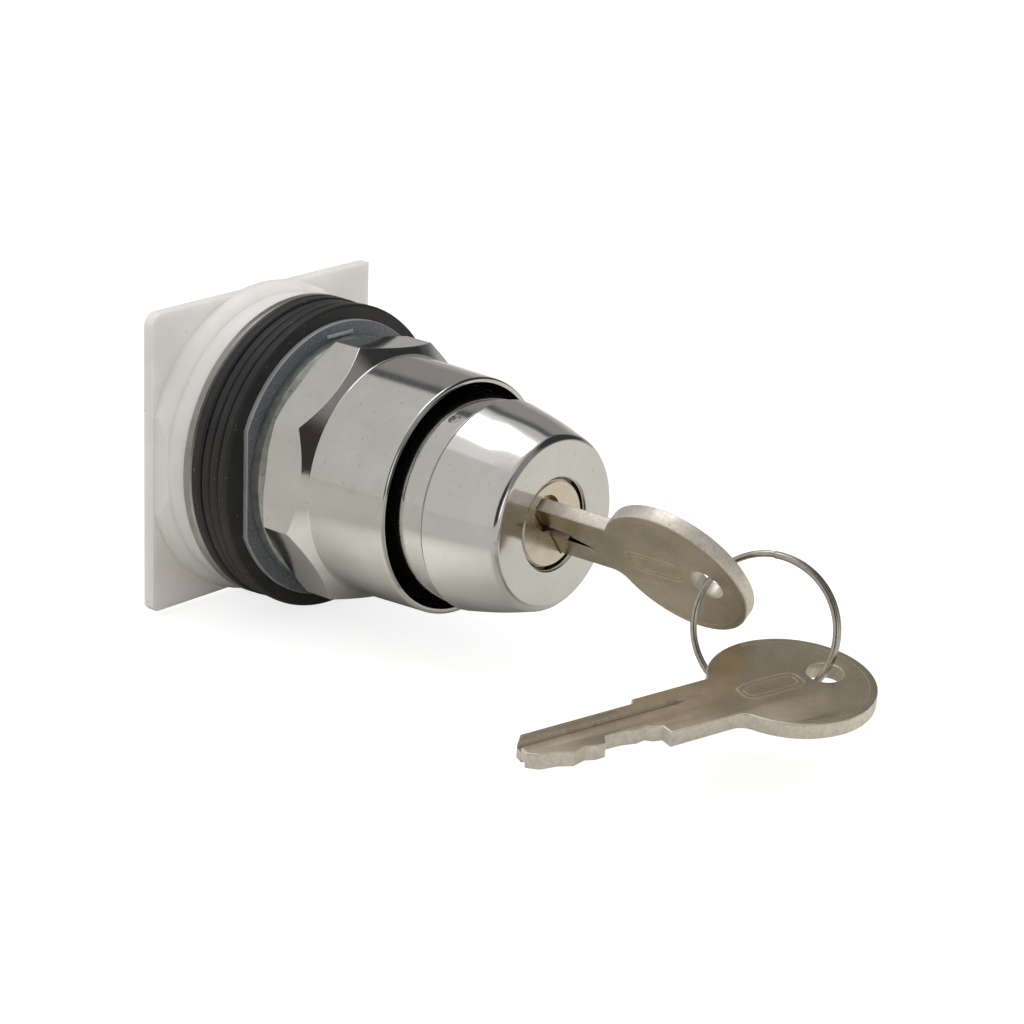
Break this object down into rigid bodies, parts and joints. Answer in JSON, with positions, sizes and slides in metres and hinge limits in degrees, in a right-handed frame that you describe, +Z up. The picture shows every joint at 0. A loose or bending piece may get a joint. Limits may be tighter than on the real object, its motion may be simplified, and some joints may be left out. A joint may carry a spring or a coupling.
{
  "type": "selector key switch",
  "caption": "Panel-mounted key-operated selector switch: chromed ring nut and tapered bonnet on a square translucent base, key in the lock and a spare key on a split ring.",
  "frame": {"origin": "centre of the metal flange's front face, where the operator seats against the back of the panel, on the lock's axis", "axes": "-Y out of the panel towards the person who turns the key, +Y back to the contact blocks, +Z up, +X to the right as seen from the front"},
  "size_m": [0.0634, 0.1133, 0.0462],
  "materials": {
    "milky_plastic": "translucent, milky white",
    "chromed_flange": "bright plated",
    "black_rubber": "matt, slightly dusty",
    "grey_plastic": "smoky grey, slightly translucent",
    "chrome": "polished chrome plate",
    "zinc": "dull cast zinc",
    "steel": "plain zinc-plated",
    "brass": "turned",
    "nickel": "warm satin nickel plate",
    "moulded_plastic": "dark grey moulded",
    "ring_steel": "nickel plated spring steel"
  },
  "bodies": {
    "operator": {"base_plate": "milky_plastic", "operator_body": "chromed_flange", "rear_gasket": "black_rubber", "inner_spacer_gasket": "black_rubber", "outer_spacer_gasket": "black_rubber", "front_gasket": "black_rubber", "trim_washer": "grey_plastic", "ring_nut": "chrome", "bonnet": "chrome", "bonnet_seal": "black_rubber", "lock_barrel": "zinc", "barrel_pin": "steel", "base_screws": "steel", "contact_inserts": "brass", "left_plunger_spring": "steel", "right_plunger_spring": "steel"},
    "rotor": {"lock_plug": "nickel", "lock_wafers": "brass", "wafer_springs": "steel", "plug_clip": "steel", "drive_tail": "steel", "cam_rotor": "moulded_plastic", "detent_balls": "steel", "detent_springs": "steel"},
    "left_pushrod": {"left_plunger": "moulded_plastic"},
    "right_pushrod": {"right_plunger": "moulded_plastic"},
    "lock_key": {"operating_key": "nickel"},
    "split_ring": {"key_ring": "ring_steel"},
    "second_key": {"spare_key": "nickel"}
  },
  "joints": [
    {"name": "key_turn", "type": "hinge", "parent": "operator", "child": "rotor", "pos_m": [0, 0, 0], "axis": [0, -1, 0], "range_deg": [-70, 0]},
    {"name": "left_plunger_push", "type": "slide", "parent": "operator", "child": "left_pushrod", "axis": [0, 1, 0], "range_m": [-0.0025, 0], "deforming": ["left_plunger_spring"]},
    {"name": "right_plunger_push", "type": "slide", "parent": "operator", "child": "right_pushrod", "axis": [0, 1, 0], "range_m": [0, 0.0025], "deforming": ["right_plunger_spring"]},
    {"name": "key_withdraw", "type": "slide", "parent": "rotor", "child": "lock_key", "axis": [0, -1, 0], "range_m": [0, 0.03]},
    {"name": "ring_swing", "type": "hinge", "parent": "lock_key", "child": "split_ring", "pos_m": [0.00092, -0.0744, -0.00131], "axis": [0.364, -0.4397, 0.8211], "range_deg": [-30, 15]},
    {"name": "spare_key_slide", "type": "hinge", "parent": "split_ring", "child": "second_key", "pos_m": [0.00237, -0.08266, -0.00638], "axis": [0.9196, 0.3095, -0.2419], "range_deg": [-60, 10]}
  ],
  "couplings": [
    {"joint": "left_plunger_push", "follows": "key_turn", "m_per_rad": 0.002046},
    {"joint": "right_plunger_push", "follows": "key_turn", "m_per_rad": -0.002046}
  ]
}
